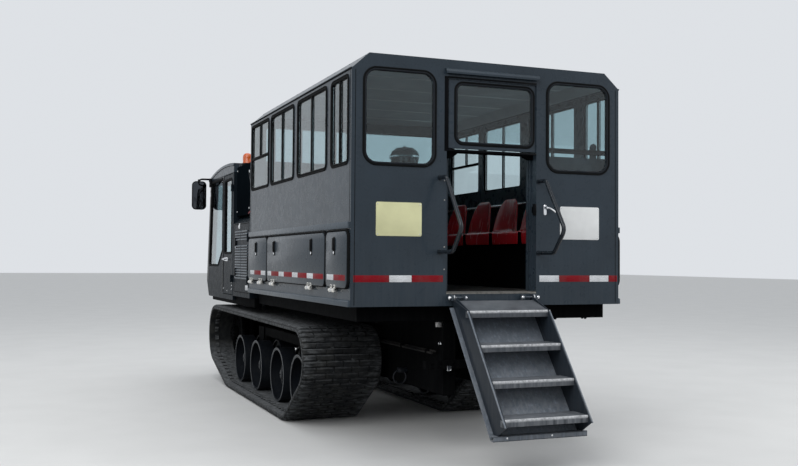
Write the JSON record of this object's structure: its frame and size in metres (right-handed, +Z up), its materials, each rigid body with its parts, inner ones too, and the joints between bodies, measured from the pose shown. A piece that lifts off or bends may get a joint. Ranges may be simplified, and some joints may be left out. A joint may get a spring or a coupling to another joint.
{
  "type": "tracked personnel carrier",
  "caption": "Rubber-tracked crawler carrier with a front cab, an engine bay and a rear passenger cabin with side lockers, wall seats and folding stairs.",
  "frame": {"origin": "on the ground, under the middle of the bounding box", "axes": "+Y is the way the carrier drives, +Z is up, +X is its right side"},
  "size_m": [2.69, 6.632, 2.978],
  "materials": {
    "beacon_lens": "amber lens",
    "body_paint": "glossy dark slate grey paint",
    "bright_steel": "stainless",
    "cab_seat_cloth": "black woven cover",
    "dark_steel": "satin black paint, dusty",
    "handle_steel": "dark paint worn on the bends",
    "lamp_lens": "clear lens",
    "seal_rubber": "satin black",
    "seat_plastic": "moulded red shell",
    "stair_paint": "grey paint, scuffed treads",
    "track_rubber": "matt, dusty",
    "trim_plastic": "black",
    "wheel_steel": "worn dark paint with a bright rim",
    "window_glass": "lightly tinted"
  },
  "bodies": {
    "carrier": {"air_cleaner": "trim_plastic", "beacon": "beacon_lens", "bogies_left": "dark_steel", "bogies_right": "dark_steel", "cab_body": "body_paint", "cab_console": "trim_plastic", "cab_glass": "window_glass", "cab_roof": "body_paint", "cab_seat": "cab_seat_cloth", "cabin_floor": "dark_steel", "cabin_glass": "window_glass", "cabin_roof": "body_paint", "cabin_wall_front": "body_paint", "cabin_wall_left": "body_paint", "cabin_wall_rear": "body_paint", "cabin_wall_right": "body_paint", "chassis_frame": "dark_steel", "cooler_box": "dark_steel", "door_track": "dark_steel", "engine_bay": "body_paint", "engine_block": "dark_steel", "front_bumper": "dark_steel", "grab_handles": "handle_steel", "headlamps": "lamp_lens", "idler_left": "dark_steel", "idler_right": "dark_steel", "locker_box_left": "dark_steel", "locker_box_right": "dark_steel", "locker_hinges": "bright_steel", "mirrors": "trim_plastic", "road_wheels_left": "wheel_steel", "road_wheels_right": "wheel_steel", "seat_rails": "bright_steel", "seats_left": "seat_plastic", "seats_right": "seat_plastic", "sprocket_left": "dark_steel", "sprocket_right": "dark_steel", "stair_hinges": "bright_steel", "track_frame_left": "dark_steel", "track_frame_right": "dark_steel", "track_left": "track_rubber", "track_right": "track_rubber", "transom_panel": "body_paint", "window_seals": "seal_rubber"},
    "stairs": {"stairs": "stair_paint"},
    "entry_door": {"entry_door": "body_paint"},
    "cab_door_left": {"cab_door_left": "body_paint", "cab_door_glass_left": "window_glass"},
    "cab_door_right": {"cab_door_right": "body_paint", "cab_door_glass_right": "window_glass"},
    "engine_door_left": {"engine_door_left": "body_paint"},
    "engine_door_right": {"engine_door_right": "body_paint"},
    "locker_door_rear_left": {"locker_door_rear_left": "body_paint"},
    "locker_door_rear_right": {"locker_door_rear_right": "body_paint"},
    "locker_door_middle_left": {"locker_door_middle_left": "body_paint"},
    "locker_door_middle_right": {"locker_door_middle_right": "body_paint"},
    "locker_door_front_left": {"locker_door_front_left": "body_paint"},
    "locker_door_front_right": {"locker_door_front_right": "body_paint"}
  },
  "joints": [
    {"name": "stairs_fold", "type": "hinge", "parent": "carrier", "child": "stairs", "pos_m": [0, -2.479, 1.18], "axis": [-1, 0, 0], "range_deg": [0, 130]},
    {"name": "entry_door_slide", "type": "slide", "parent": "carrier", "child": "entry_door", "axis": [-1, 0, 0], "range_m": [0, 0.715]},
    {"name": "cab_door_left_swing", "type": "hinge", "parent": "carrier", "child": "cab_door_left", "pos_m": [-1.147, 1.715, 1.743], "axis": [0, 0, 1], "range_deg": [0, 90]},
    {"name": "engine_door_left_swing", "type": "hinge", "parent": "carrier", "child": "engine_door_left", "pos_m": [-1.147, 0.888, 1.47], "axis": [0, 0, 1], "range_deg": [0, 100]},
    {"name": "locker_door_rear_left_drop", "type": "hinge", "parent": "carrier", "child": "locker_door_rear_left", "pos_m": [-1.173, 0, 1.23], "axis": [0, -1, 0], "range_deg": [0, 110]},
    {"name": "locker_door_middle_left_drop", "type": "hinge", "parent": "carrier", "child": "locker_door_middle_left", "pos_m": [-1.173, 0, 1.23], "axis": [0, -1, 0], "range_deg": [0, 110]},
    {"name": "locker_door_front_left_drop", "type": "hinge", "parent": "carrier", "child": "locker_door_front_left", "pos_m": [-1.173, 0, 1.23], "axis": [0, -1, 0], "range_deg": [0, 110]},
    {"name": "cab_door_right_swing", "type": "hinge", "parent": "carrier", "child": "cab_door_right", "pos_m": [1.147, 1.715, 1.743], "axis": [0, 0, -1], "range_deg": [0, 90]},
    {"name": "engine_door_right_swing", "type": "hinge", "parent": "carrier", "child": "engine_door_right", "pos_m": [1.147, 0.888, 1.47], "axis": [0, 0, -1], "range_deg": [0, 100]},
    {"name": "locker_door_rear_right_drop", "type": "hinge", "parent": "carrier", "child": "locker_door_rear_right", "pos_m": [1.173, 0, 1.23], "axis": [0, 1, 0], "range_deg": [0, 110]},
    {"name": "locker_door_middle_right_drop", "type": "hinge", "parent": "carrier", "child": "locker_door_middle_right", "pos_m": [1.173, 0, 1.23], "axis": [0, 1, 0], "range_deg": [0, 110]},
    {"name": "locker_door_front_right_drop", "type": "hinge", "parent": "carrier", "child": "locker_door_front_right", "pos_m": [1.173, 0, 1.23], "axis": [0, 1, 0], "range_deg": [0, 110]}
  ]
}
